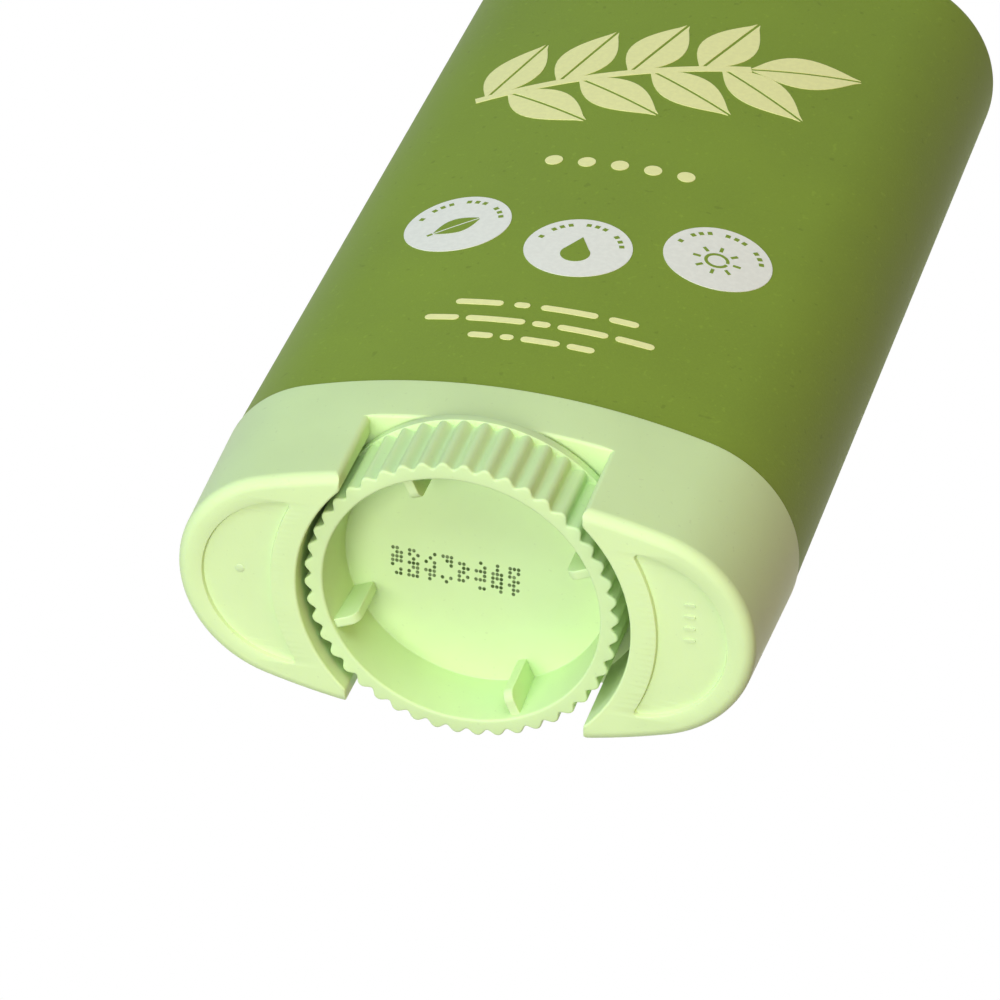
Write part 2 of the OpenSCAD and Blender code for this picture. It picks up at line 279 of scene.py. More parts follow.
class Tree:
    """Adds nodes to a shader or geometry node tree."""

    def __init__(self, nodes, links):
        self.nodes = nodes
        self.links = links

    def node(self, kind, options=None, values=None):
        """Adds a node, sets its options and then fills its input sockets."""
        made = self.nodes.new(kind)
        for key, value in (options or {}).items():
            setattr(made, key, value)
        for key, value in (values or {}).items():
            socket = made.inputs[key]
            if isinstance(value, Sig):
                self.links.new(value.socket, socket)
            else:
                socket.default_value = value
        return made

    def add(self, kind, options=None, values=None, out=0):
        """Adds a node and gives back one of its outputs."""
        return Sig(self, self.node(kind, options, values).outputs[out])

    def position(self):
        """Place on the surface, in the object's own metres."""
        return self.add("ShaderNodeTexCoord", out="Object")

    def noise(self, place, per_mm, detail=2.0, rough=0.5, seed=0.0):
        """Smooth random value whose features are about 1/per_mm millimetres across."""
        shifted = self.add(
            "ShaderNodeVectorMath", {"operation": "ADD"}, {0: place, 1: (seed, seed * 0.7, seed * 1.3)}
        )
        return self.add(
            "ShaderNodeTexNoise", {"noise_dimensions": "3D"},
            {"Vector": shifted, "Scale": per_mm / MM, "Detail": detail, "Roughness": rough},
        )

    def mix(self, factor, first, second):
        """Blend of two colours."""
        return self.add(
            "ShaderNodeMix", {"data_type": "RGBA"}, {0: factor, 6: first, 7: second}, out=2
        )

    def bump(self, height, mm, strength=1.0):
        """Normal of a surface whose height varies by so many millimetres."""
        return self.add(
            "ShaderNodeBump", {}, {"Strength": strength, "Distance": mm * MM, "Height": height}
        )


def material(name, colour_value, build, **constants):
    """A material whose build function links what varies over the surface."""
    made = bpy.data.materials.new(name)
    made.use_nodes = True
    made.diffuse_color = (*colour_value, 1)
    tree = Tree(made.node_tree.nodes, made.node_tree.links)
    shader = tree.nodes["Principled BSDF"]
    for key, value in constants.items():
        shader.inputs[key.replace("_", " ").title().replace("Ior", "IOR")].default_value = value
    for key, value in build(tree, colour_value).items():
        tree.links.new(value.socket, shader.inputs[key])
    return made


def shade(value, factor, lift=0.0):
    """A colour made darker or lighter, with an alpha of one."""
    return tuple(min(1.0, c * factor + lift) for c in value) + (1.0,)


def moulded(tree, base):
    """Smooth moulded plastic: faint clouding, fine satin grain and small specks."""
    place = tree.position()
    cloud = tree.noise(place, 0.09, 3.0)
    grain = tree.noise(place, 7.0, 2.0, seed=0.3)
    speck = tree.noise(place, 2.6, 1.0, seed=0.9).ramp(0.70, 0.78)
    tone = tree.mix(cloud.ramp(0.3, 0.7), shade(base, 0.965), shade(base, 1.02))
    tone = tree.mix(speck * 0.35, tone, shade(base, 0.82))
    height = grain * 0.6 + tree.noise(place, 0.7, 2.0, seed=0.5) * 0.4
    return {
        "Base Color": tone,
        "Roughness": 0.34 + 0.1 * cloud + 0.06 * grain,
        "Normal": tree.bump(height, 0.012),
    }


def marked(tree, base):
    """The moulded plastic with a dot pattern of dark ink on the dial's floor."""
    values = moulded(tree, base)
    start, tilt = (-7.95 * MM, -0.75 * MM, 0), (0, 0, math.radians(2.5))
    columns, rows, wide, tall = 32, 7, 0.36 * MM, 0.42 * MM
    group, drawn_share, empty_share = 4, 0.74, 0.42
    floor, near = DIAL_LO.z + settings("pack_dial").depth, 0.5 * MM
    place = tree.position()
    laid = tree.add("ShaderNodeMapping", {"vector_type": "TEXTURE"}, {
        "Vector": place, "Location": start, "Rotation": tilt,
    })
    axes = tree.node("ShaderNodeSeparateXYZ", {}, {0: laid})
    across, up, height = (Sig(tree, axes.outputs[i]) for i in range(3))
    column = across / wide
    row = up / tall
    cell = tree.add("ShaderNodeCombineXYZ", {}, {0: column.floor(), 1: row.floor()})
    drawn = tree.add("ShaderNodeTexWhiteNoise", {"noise_dimensions": "2D"}, {"Vector": cell})
    spread = ((column.fract() - 0.5) ** 2 + (row.fract() - 0.5) ** 2) ** 0.5
    dot = spread.ramp(0.34, 0.52, 1.0, 0.0) * drawn.above(empty_share)
    dot = dot * (column / group).fract().less(drawn_share)
    for value, low, high in ((column, 0, columns), (row, 0, rows), (height, floor - near, floor + near)):
        dot = dot * value.above(low) * value.less(high)
    thin = tree.noise(place, 2.2, 2.0, seed=1.1).ramp(0.3, 0.75, 0.98, 0.72)
    ink = (*settings("pack_colours").mark_ink, 1)
    values["Base Color"] = tree.mix(dot * thin, values["Base Color"], ink)
    return values


def frosted(tree, base):
    """Fine matt plastic of the cap: clouded tone, pale and dark specks, and light rubbing."""
    place = tree.position()
    cloud = tree.noise(place, 0.06, 4.0)
    grain = tree.noise(place, 5.0, 3.0, 0.6, seed=0.2)
    pale = tree.noise(place, 1.9, 1.0, seed=0.6).ramp(0.66, 0.76)
    dark = tree.noise(place, 1.3, 1.0, seed=1.4).ramp(0.70, 0.78)
    tone = tree.mix(cloud.ramp(0.25, 0.75), shade(base, 0.93), shade(base, 1.05))
    tone = tree.mix(grain.ramp(0.35, 0.75) * 0.3, tone, shade(base, 1.18))
    tone = tree.mix(pale * 0.22, tone, shade(base, 1.5))
    tone = tree.mix(dark * 0.35, tone, shade(base, 0.6))
    return {
        "Base Color": tone,
        "Roughness": 0.42 + 0.12 * cloud + 0.08 * grain,
        "Normal": tree.bump(grain, 0.02),
    }


def inked(tree, base):
    """Printed ink: nearly even, with a slight mottle."""
    place = tree.position()
    mottle = tree.noise(place, 2.2, 3.0, seed=0.4)
    return {
        "Base Color": tree.mix(mottle.ramp(0.35, 0.7), shade(base, 0.95), shade(base, 1.0)),
        "Roughness": 0.4 + 0.15 * mottle,
        "Normal": tree.bump(mottle, 0.004),
    }


def waxy(tree, base):
    """Solid balm: soft clouding and shallow wipe marks."""
    place = tree.position()
    cloud = tree.noise(place, 0.15, 3.0)
    stretched = tree.add("ShaderNodeMapping", {}, {"Vector": place, "Scale": (0.15, 1.0, 0.4)})
    wipe = tree.noise(stretched, 1.2, 3.0, seed=0.7)
    return {
        "Base Color": tree.mix(cloud.ramp(0.3, 0.7), shade(base, 0.95), shade(base, 1.0)),
        "Roughness": 0.38 + 0.2 * wipe,
        "Normal": tree.bump(wipe, 0.05),
    }


FOOT_GLOSS = {
    "subsurface_weight": 0.12, "subsurface_scale": 0.0012, "subsurface_radius": (1.0, 1.0, 0.25),
    "specular_ior_level": 0.12,
}
FINISHES = {
    "foot_plastic": ("foot", moulded, FOOT_GLOSS),
    "dial_plastic": ("dial", moulded, FOOT_GLOSS),
    "cap_plastic": ("cap", frosted, {"specular_ior_level": 0.12}),
    "yellow_ink": ("yellow_ink", inked, {"specular_ior_level": 0.3}),
    "white_ink": ("white_ink", inked, {"specular_ior_level": 0.3}),
    "marked_plastic": ("dial", marked, FOOT_GLOSS),
    "balm": ("balm", waxy, {"subsurface_weight": 0.25, "subsurface_scale": 0.002}),
    "platform_plastic": ("platform", moulded, {"subsurface_weight": 0.15, "subsurface_scale": 0.0015}),
}


def finish_of(slot):
    """The material of a slot, made once."""
    name = slot + "_finish"
    if name not in bpy.data.materials:
        key, build, constants = FINISHES[slot]
        material(name, tuple(getattr(settings("pack_colours"), key)), build, **constants)
    return bpy.data.materials[name]


# Mesh helpers


class Shell:
    """Collects rings of points and the faces between them."""

    def __init__(self):
        self.points = []
        self.faces = []

    def ring(self, points):
        """Adds points and gives back their numbers."""
        first = len(self.points)
        self.points += [tuple(p) for p in points]
        return list(range(first, len(self.points)))

    def wall(self, low, high, closed=True):
        """Quads between two rings of the same count."""
        count = len(low)
        for i in range(count if closed else count - 1):
            j = (i + 1) % count
            self.faces.append((low[i], low[j], high[j], high[i]))

    def loft(self, rings):
        """Walls through rings of points. Gives back the first and the last ring."""
        numbers = [self.ring(points) for points in rings]
        for low, high in zip(numbers, numbers[1:]):
            self.wall(low, high)
        return numbers[0], numbers[-1]

    def fill(self, outer, *holes, flip=False):
        """Flat face inside one ring and outside the others. A mirrored one is cut like its original."""
        loops = [loop[::-1] for loop in (outer, *holes)] if flip else [outer, *holes]
        side = -1 if flip else 1
        flat = [number for loop in loops for number in loop]
        shapes = [[Vector((side * x, y, z)) for x, y, z in (self.points[n] for n in loop)] for loop in loops]
        for triangle in tessellate_polygon(shapes):
            self.faces.append(tuple(flat[k] for k in triangle))

    def fan(self, ring, centre):
        """Triangles from a ring to one point."""
        tip = self.ring([centre])[0]
        for i, number in enumerate(ring):
            self.faces.append((number, ring[(i + 1) % len(ring)], tip))


def cleaned(mesh, merge=0.002 * MM):
    """Merges doubled points, drops empty faces and turns the faces outwards."""
    work = bmesh.new()
    work.from_mesh(mesh)
    bmesh.ops.remove_doubles(work, verts=work.verts, dist=merge)
    bmesh.ops.dissolve_degenerate(work, edges=work.edges, dist=merge)
    bmesh.ops.recalc_face_normals(work, faces=work.faces)
    work.to_mesh(mesh)
    work.free()


def smoothed(piece, degrees=32):
    """Smooth shading that keeps sharp edges. Level faces are shaded flat."""
    level = 0.9999
    polygons = piece.data.polygons
    polygons.foreach_set("use_smooth", [abs(face.normal.z) < level for face in polygons])
    piece.data.set_sharp_from_angle(angle=math.radians(degrees))
    weigh = piece.modifiers.new("even_flats", "WEIGHTED_NORMAL")
    weigh.keep_sharp = True
    weigh.weight = 80


def piece_from(name, shell, body, slot, degrees=32):
    """A finished piece from a shell, riding on a body."""
    mesh = bpy.data.meshes.new(name)
    mesh.from_pydata(shell.points, [], shell.faces)
    cleaned(mesh)
    return placed(bpy.data.objects.new(name, mesh), body, slot, degrees)


def placed(piece, body, slot, degrees=32):
    """Links a piece, gives it its material and lets it ride."""
    if piece.name not in bpy.context.scene.collection.objects:
        bpy.context.scene.collection.objects.link(piece)
    piece.data.materials.clear()
    piece.data.materials.append(finish_of(slot))
    smoothed(piece, degrees)
    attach(piece, body)
    return piece


class Oval:
    """Outline of the pack: two round ends and two shallow faces that run smoothly into each other."""

    def __init__(self, end_steps=64, face_steps=64):
        self.end_r = settings("pack_foot").end_radius
        self.end_x = FOOT_HI.x - self.end_r
        self.half_d = FOOT_HI.y
        spread = self.half_d - self.end_r
        self.face_r = (self.end_x**2 + self.half_d**2 - self.end_r**2) / (2 * spread)
        self.face_y = self.face_r - self.half_d
        self.join = math.atan2(self.face_y, self.end_x)
        self.end_steps = end_steps
        self.face_steps = face_steps

    @staticmethod
    def arc(x, y, radius, start, stop, steps):
        """Columns along an arc, without the last one: centre, radius and direction."""
        angles = [start + (stop - start) * i / steps for i in range(steps)]
        return [(x, y, radius, math.cos(a), math.sin(a)) for a in angles]

    def columns(self):
        """Columns all the way round."""
        j = self.join
        return (
            self.arc(self.end_x, 0, self.end_r, -j, j, self.end_steps)
            + self.arc(0, -self.face_y, self.face_r, j, HALF_TURN - j, self.face_steps)
            + self.arc(-self.end_x, 0, self.end_r, HALF_TURN - j, HALF_TURN + j, self.end_steps)
            + self.arc(0, self.face_y, self.face_r, HALF_TURN + j, FULL_TURN - j, self.face_steps)
        )

    @staticmethod
    def ring(columns, grow, z):
        """Points of the columns, moved outwards by grow, at one height."""
        return [(x + (r + grow) * c, y + (r + grow) * s, z) for x, y, r, c, s in columns]


def arc_points(x, y, radius, start, stop, steps):
    """Points along an arc, both ends included."""
    angles = [start + (stop - start) * i / steps for i in range(steps + 1)]
    return [(x + radius * math.cos(a), y + radius * math.sin(a)) for a in angles]


def circle_points(x, y, radius, steps):
    """Points all the way round a circle."""
    return arc_points(x, y, radius, 0, FULL_TURN, steps)[:-1]


def bar_points(left, right, y, radius, steps):
    """Outline of a level bar with round ends, given by the middles of its ends."""
    outline = arc_points(right, y, radius, -QUARTER_TURN, QUARTER_TURN, steps)
    return outline + arc_points(left, y, radius, QUARTER_TURN, 3 * QUARTER_TURN, steps)


def line_points(start, stop, steps):
    """Points between two points, both left out."""
    return [
        (start[0] + (stop[0] - start[0]) * i / steps, start[1] + (stop[1] - start[1]) * i / steps)
        for i in range(1, steps)
    ]


# Foot


MARK_X = 19.1 * MM
GATE_SPOT = (-19.1 * MM, -0.6 * MM)


class Lobe:
    """Outline of the right lobe: outer wall, rounded corners, window walls and the well's round wall."""

    corner_steps = 8
    face_steps = 8
    well_steps = 40

    def __init__(self, oval):
        self.oval = oval
        self.sizes = settings("pack_foot")

    def corner(self, grow, inset):
        """Centre of the back corner's rounding and the angle where it meets the outer wall."""
        x = self.sizes.window_half + inset + self.sizes.corner
        inner = self.oval.face_r + grow - self.sizes.corner
        y = math.sqrt(inner**2 - x**2) - self.oval.face_y
        return x, y, math.atan2(y + self.oval.face_y, x)

    def outer(self, grow, inset):
        """Columns of the outer wall from the front corner round the end to the back corner."""
        oval = self.oval
        tangent = self.corner(grow, inset)[2]
        last = (0, -oval.face_y, oval.face_r, math.cos(tangent), math.sin(tangent))
        return (
            oval.arc(0, oval.face_y, oval.face_r, -tangent, -oval.join, self.face_steps)
            + oval.arc(oval.end_x, 0, oval.end_r, -oval.join, oval.join, oval.end_steps)
            + oval.arc(0, -oval.face_y, oval.face_r, oval.join, tangent, self.face_steps)
            + [last]
        )

    def inner(self, grow, inset):
        """Points of the corners and the well's walls, from the back corner to the front one, with the
        share of the outer wall's height that each follows."""
        sizes = self.sizes
        x, y, tangent = self.corner(grow, inset)
        half = sizes.window_half + inset
        well = sizes.well_radius + inset
        soft = sizes.corner
        bend_y = math.sqrt((well + soft) ** 2 - (half + soft) ** 2)
        turn = math.atan2(bend_y, half + soft)
        back = arc_points(x, y, sizes.corner, tangent, HALF_TURN, self.corner_steps)[1:]
        side = line_points((half, y), (half, bend_y), 3)
        bend = arc_points(half + soft, bend_y, soft, HALF_TURN, HALF_TURN + turn, 5)
        round_wall = arc_points(0, 0, well, turn, -turn, self.well_steps)[1:-1]
        path = back + side + bend + round_wall
        path += [(px, -py) for px, py in reversed(back + side + bend)]
        shares = [1 - (i + 1) / self.corner_steps for i in range(self.corner_steps)]
        shares += [0] * (len(path) - 2 * self.corner_steps)
        shares += list(reversed(shares[: self.corner_steps]))
        return path, [s * s * (3 - 2 * s) for s in shares]

    def ring(self, grow, inset, outer_z, inner_z):
        """Closed ring of points. The outer wall and the well's walls may be at different heights."""
        points = Oval.ring(self.outer(grow, inset), grow, outer_z)
        path, shares = self.inner(grow, inset)
        points += [
            (x, y, share * outer_z + (1 - share) * inner_z) for (x, y), share in zip(path, shares)
        ]
        return points


def crescent_ring(oval, sizes, inset, z, steps=56):
    """Ring of a sunk panel's outline, moved inwards by inset."""
    soft = sizes.panel_corner
    far = oval.end_x
    outer = sizes.panel_radius - inset
    inner = sizes.panel_inner + inset
    to_far = outer - soft
    to_middle = inner + soft
    x = (to_middle**2 - to_far**2 + far**2) / (2 * far)
    y = math.sqrt(to_middle**2 - x**2)
    out_angle = math.atan2(y, x - far)
    in_angle = math.atan2(y, x)
    path = arc_points(far, 0, outer, -out_angle, out_angle, steps)
    path += arc_points(x, y, soft, out_angle, HALF_TURN + in_angle, 8)[1:]
    path += arc_points(0, 0, inner, in_angle, -in_angle, steps)[1:]
    path += arc_points(x, -y, soft, HALF_TURN - in_angle, FULL_TURN - out_angle, 8)[1:-1]
    return [(px, py, z) for px, py in path]


def mirrored(points):
    """The same ring on the left lobe, in the same turning sense."""
    return [(-x, y, z) for x, y, z in reversed(points)]


def wall_offset(sizes, z):
    """Offset of the foot's outer wall from the shoulder's outline at a height. Inwards is negative."""
    return -sizes.draft * (1 - z / sizes.height)


def lobe_rows(sizes, steps=10):
    """Rows of the lobes from the standing face up: outer offset, well inset and both heights."""
    lean = math.atan2(sizes.draft, sizes.height)
    start = -sizes.draft - sizes.edge * math.tan((QUARTER_TURN - lean) / 2)
    rows = []
    for i in range(steps + 1):
        outer = QUARTER_TURN - (QUARTER_TURN - lean) * i / steps
        inner = QUARTER_TURN * (1 - i / steps)
        rows.append((
            start + sizes.edge * math.cos(outer),
            sizes.mouth * (1 - math.cos(inner)),
            sizes.edge * (1 - math.sin(outer)),
            sizes.mouth * (1 - math.sin(inner)),
        ))
    rows.append((wall_offset(sizes, sizes.well_top), 0, sizes.well_top, sizes.well_top))
    return rows


def add_lobe(shell, lobe, oval, turn):
    """One lobe with its sunk panel. turn is mirrored for the left lobe."""
    sizes = lobe.sizes
    rings = [turn(lobe.ring(*row)) for row in lobe_rows(sizes)]
    bottom, _ = shell.loft(rings)
    edge, bend, lean = 0.12 * MM, 0.036 * MM, 0.03 * MM
    sink = sizes.panel_sink
    rows = [(-edge, 0), (-bend, bend), (0, edge), (lean, sink - edge)]
    rows += [(lean + bend, sink - bend), (lean + edge, sink)]
    rim, floor = shell.loft([turn(crescent_ring(oval, sizes, inset, z)) for inset, z in rows])
    shell.fill(bottom, rim, flip=turn is mirrored)
    shell.fill(floor)


def window_rows(oval, lobe, sizes, steps=4, edge=0.3 * MM):
    """Rings round the foot at the well's ceiling, with a soft edge over each window."""
    top_grow = wall_offset(sizes, sizes.well_top)
    span_steps, fade = 48, 1.2 * MM
    right = lobe.outer(top_grow, 0)
    tangent = lobe.corner(top_grow, 0)[2]
    back = oval.arc(0, -oval.face_y, oval.face_r, tangent, HALF_TURN - tangent, span_steps)[1:]
    left = [(-x, y, r, -c, s) for x, y, r, c, s in reversed(right)]
    front = [(x, -y, r, c, -s) for x, y, r, c, s in reversed(back)]
    columns = right + back + left + front
    spans = [0] * len(right) + [1] * len(back) + [0] * len(left) + [1] * len(front)
    limit = oval.face_r * math.cos(tangent)
    rows = []
    for i in range(steps + 1):
        a = QUARTER_TURN * (1 - i / steps)
        ring = []
        for (x, y, r, c, s), span in zip(columns, spans):
            near = (limit - abs(x + r * c)) / fade
            soft = edge * span * max(0, min(1, near))
            reach = r + top_grow - soft * (1 - math.cos(a))
            ring.append((x + reach * c, y + reach * s, sizes.well_top + soft * (1 - math.sin(a))))
        rows.append(ring)
    return columns, rows, (len(right), len(back))


def build_foot():
    """Foot and neck: two lobes round the open well, the shoulder and the tube that holds the balm."""
    sizes = settings("pack_foot")
    oval = Oval()
    lobe = Lobe(oval)
    shell = Shell()
    add_lobe(shell, lobe, oval, list)
    add_lobe(shell, lobe, oval, mirrored)
    columns, rows, (count_lobe, count_window) = window_rows(oval, lobe, sizes)
    first, last = shell.loft(rows)
    path, _ = lobe.inner(wall_offset(sizes, sizes.well_top), 0)
    right = [(x, y, sizes.well_top) for x, y in path]
    left = [(-x, y, z) for x, y, z in right]
    back = [shell.points[n] for n in first[count_lobe - 1: count_lobe + count_window + 1]]
    front_start = 2 * count_lobe + count_window - 1
    front = [shell.points[n] for n in first[front_start:]] + [shell.points[first[0]]]
    shell.fill(shell.ring(back + left[:-1] + front + list(reversed(right[:-1]))))

    neck, inside = -sizes.neck_step, -sizes.neck_step - sizes.neck_wall
    shoulder, mouth = sizes.height, FOOT_HI.z
    soft, root, lip, lip_bend = 0.1 * MM, 0.3 * MM, 0.35 * MM, 0.1 * MM
    bead_z, bead_low, bead_high, bead_end = (shoulder + up * MM for up in (1.0, 1.3, 1.8, 2.2))
    heights = [shoulder * share for share in (0.72, 0.84, 0.96)]
    outside = [(wall_offset(sizes, z), z) for z in heights]
    outside += [(-0.1 * soft, shoulder - soft), (-soft, shoulder)]
    outside += [(neck + root, shoulder), (neck, shoulder + root)]
    outside += [(neck, bead_z), (neck + sizes.bead, bead_low)]
    outside += [(neck + sizes.bead, bead_high), (neck, bead_end)]
    outside += [(neck, mouth - lip), (neck - lip_bend, mouth - lip_bend), (neck - lip, mouth)]
    outside += [(inside + lip, mouth), (inside + lip_bend, mouth - lip_bend)]
    outside += [(inside, mouth - lip), (inside, sizes.deck_top)]
    rings = [Oval.ring(columns, grow, z) for grow, z in outside]
    low, deck = shell.loft(rings)
    shell.wall(last, low)
    shell.fill(deck)
    piece = piece_from("foot_shell", shell, "pack", "foot_plastic")
    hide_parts("foot_and_neck")


def build_panel_marks():
    """Four short raised bars on one sunk panel and the gate mark on the other."""
    panel = settings("pack_foot").panel_sink
    half, end, first, pitch = 0.32 * MM, 0.13 * MM, -3.6 * MM, 1.15 * MM
    gate, gate_tall = 0.35 * MM, 0.04 * MM
    shell = Shell()

    def raised(outline, tall=0.09 * MM, slope=0.05 * MM, root=0.02 * MM):
        middle = Vector((sum(x for x, _ in outline), sum(y for _, y in outline))) / len(outline)
        steps = [(slope, panel + root), (slope, panel), (slope * 0.3, panel - tall * 0.8), (0, panel - tall)]
        rings = []
        for grow, z in steps:
            ring = []
            for x, y in outline:
                away = Vector((x, y)) - middle
                spot = Vector((x, y)) + away.normalized() * grow
                ring.append((spot.x, spot.y, z))
            rings.append(ring)
        low, high = shell.loft(rings)
        shell.fill(low)
        shell.fill(high)

    for i in range(4):
        raised(bar_points(MARK_X - half, MARK_X + half, first + i * pitch, end, 6))
    raised(circle_points(*GATE_SPOT, gate, 20), gate_tall)
    piece = piece_from("panel_marks", shell, "pack", "foot_plastic")


# Geometry nodes


class GeoSig(Sig):
    """A socket in a geometry node tree."""

    def sin(self):
        return self._math("SINE", self)

    def cos(self):
        return self._math("COSINE", self)

    def absolute(self):
        return self._math("ABSOLUTE", self)


class GeoTree(Tree):
    """A geometry node tree with named inputs that ends in Realize Instances and Set Material."""

    def __init__(self, name, inputs, slot):
        self.group = bpy.data.node_groups.new(name, "GeometryNodeTree")
        super().__init__(self.group.nodes, self.group.links)
        self.slot = slot
        face = self.group.interface
        face.new_socket("Geometry", in_out="INPUT", socket_type="NodeSocketGeometry")
        self.ids = {}
        for key, (kind, _) in inputs.items():
            self.ids[key] = face.new_socket(key, in_out="INPUT", socket_type=kind).identifier
        face.new_socket("Geometry", in_out="OUTPUT", socket_type="NodeSocketGeometry")
        self.inputs = inputs
        self.source = self.nodes.new("NodeGroupInput")

    def add(self, kind, options=None, values=None, out=0):
        return GeoSig(self, self.node(kind, options, values).outputs[out])

    def given(self, key):
        """One of the tree's named inputs."""
        return GeoSig(self, self.source.outputs[key])

    def xyz(self, x, y, z):
        return self.add("ShaderNodeCombineXYZ", {}, {0: x, 1: y, 2: z})

    def part(self, vector, axis):
        return self.add("ShaderNodeSeparateXYZ", {}, {0: vector}, out=axis)

    def end(self, geometry):
        """Realizes the instances, sets the material and closes the tree."""
        real = self.add("GeometryNodeRealizeInstances", {}, {0: geometry})
        dressed = self.add("GeometryNodeSetMaterial", {}, {"Geometry": real})
        dressed.socket.node.inputs["Material"].default_value = finish_of(self.slot)
        out = self.nodes.new("NodeGroupOutput")
        self.links.new(dressed.socket, out.inputs[0])

    def apply(self, name, base):
        """Runs the tree on a mesh and gives back the result as a plain object."""
        carrier = bpy.data.objects.new(name + "_base", base)
        bpy.context.scene.collection.objects.link(carrier)
        modifier = carrier.modifiers.new("nodes", "NODES")
        modifier.node_group = self.group
        for key, (_, value) in self.inputs.items():
            modifier[self.ids[key]] = value
        graph = bpy.context.evaluated_depsgraph_get()
        graph.update()
        mesh = bpy.data.meshes.new_from_object(carrier.evaluated_get(graph))
        carrier.modifiers.clear()
        bpy.data.objects.remove(carrier)
        mesh.name = name
        return bpy.data.objects.new(name, mesh)


FLOAT = "NodeSocketFloat"
COUNT = "NodeSocketInt"
COLLAR_TOP = 11.3 * MM


def turned_tree(sizes, rows, columns):
    """Tree that turns a profile round the Z axis and cuts grooves where the profile is marked."""
    tree = GeoTree("turned_and_grooved", {
        "Grooves": (COUNT, sizes.ridges),
        "Groove depth": (FLOAT, sizes.groove),
        "Groove sharpness": (FLOAT, 1.2),
        "First angle": (FLOAT, sizes.first_groove),
        "Centre X": (FLOAT, -sizes.side_play),
    }, "marked_plastic")
    grid = tree.add("GeometryNodeMeshGrid", {}, {"Vertices X": rows, "Vertices Y": columns + 1})
    index = tree.add("GeometryNodeInputIndex")
    row = ((index + 0.5) / (columns + 1)).floor()
    column = index - row * (columns + 1)
    profile = tree.given("Geometry")
    spot = tree.add("GeometryNodeInputPosition")
    place = tree.add(
        "GeometryNodeSampleIndex", {"data_type": "FLOAT_VECTOR", "domain": "POINT"},
        {"Geometry": profile, "Value": spot, "Index": row},
    )
    radius = tree.part(place, "X")
    mark = tree.part(place, "Y")
    height = tree.part(place, "Z")
    angle = column * (FULL_TURN / columns) + tree.given("First angle")
    phase = (column * tree.given("Grooves") / columns).fract()
    wave = ((phase * 2 - 1).absolute() ** tree.given("Groove sharpness") * HALF_TURN).cos()
    reach = radius - mark / MM * (1 - wave) * 0.5 * tree.given("Groove depth")
    moved = tree.xyz(reach * angle.cos() + tree.given("Centre X"), reach * angle.sin(), height)
    shaped = tree.add("GeometryNodeSetPosition", {}, {"Geometry": grid, "Position": moved})
    tree.end(tree.add("GeometryNodeMergeByDistance", {}, {"Geometry": shaped, "Distance": 0.001 * MM}))
    return tree


def quarter(r, z, radius, start, stop, steps=6):
    """Profile points along an arc in the r-z plane, angles in degrees."""
    angles = [math.radians(start + (stop - start) * i / steps) for i in range(steps + 1)]
    return [(r + radius * math.cos(a), z + radius * math.sin(a)) for a in angles]


def dial_profile(sizes):
    """Profile of the dial from its middle over the rim to the journal: radius, groove mark, height."""
    rim = DIAL_LO.z
    floor = rim + sizes.depth
    soft, floor_bend, flange_bend = 0.22 * MM, 0.1 * MM, 0.12 * MM
    middle, face, run_out, step = 6 * MM, 1.1 * MM, 0.25 * MM, 0.04 * MM
    journal, root, root_z, collar, collar_low = 3.6 * MM, 0.4 * MM, 0.1 * MM, 4.1 * MM, 10.3 * MM
    smooth = [(0.0, floor), (middle, floor)]
    smooth += quarter(sizes.floor_radius - floor_bend, floor - floor_bend, floor_bend, 90, 0, 3)
    smooth += quarter(sizes.rim_radius + soft, rim + soft, soft, 180, 270)
    smooth += [(sizes.radius - face, rim)]
    grooved = quarter(sizes.radius - soft, rim + soft, soft, 270, 360)
    grooved += [(sizes.radius, sizes.groove_top - run_out), (sizes.radius, sizes.groove_top - step)]
    wide = sizes.radius + step
    after = [(sizes.radius, sizes.groove_top), (wide, sizes.groove_top + step)]
    after += quarter(wide - flange_bend, sizes.flange_top - flange_bend, flange_bend, 0, 90, 3)
    after += [(journal + root, sizes.flange_top), (journal, sizes.flange_top + root_z)]
    after += [(journal, collar_low), (collar, collar_low), (collar, COLLAR_TOP), (0.0, COLLAR_TOP)]
    marks = [0] * len(smooth) + [MM] * len(grooved) + [0] * len(after)
    return [(r, mark, z) for (r, z), mark in zip(smooth + grooved + after, marks)]


def build_dial_cup():
    """Knurled cup of the dial, turned from its profile."""
    sizes = settings("pack_dial")
    profile = dial_profile(sizes)
    base = bpy.data.meshes.new("dial_profile")
    base.from_pydata(profile, [(i, i + 1) for i in range(len(profile) - 1)], [])
    tree = turned_tree(sizes, len(profile), sizes.ridges * 12)
    piece = tree.apply("dial_cup", base)
    cleaned(piece.data)
    placed(piece, "dial", "marked_plastic", 40)
    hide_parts("dial")


def ring_tree(sizes, count):
    """Tree that sets copies of a mesh round the dial's axis."""
    tree = GeoTree("set_round_the_dial", {
        "Copies": (COUNT, count),
        "First angle": (FLOAT, sizes.gusset_turn),
        "Centre X": (FLOAT, -sizes.side_play),
    }, "dial_plastic")
    dots = tree.add("GeometryNodeMeshLine", {}, {"Count": tree.given("Copies")})
    index = tree.add("GeometryNodeInputIndex")
    angle = index * (FULL_TURN / count) + tree.given("First angle")
    spots = tree.add("GeometryNodeSetPosition", {}, {
        "Geometry": dots, "Position": tree.xyz(tree.given("Centre X"), 0.0, 0.0),
    })
    copies = tree.add("GeometryNodeInstanceOnPoints", {}, {
        "Points": spots, "Instance": tree.given("Geometry"), "Rotation": tree.xyz(0.0, 0.0, angle),
    })
    tree.end(copies)
    return tree


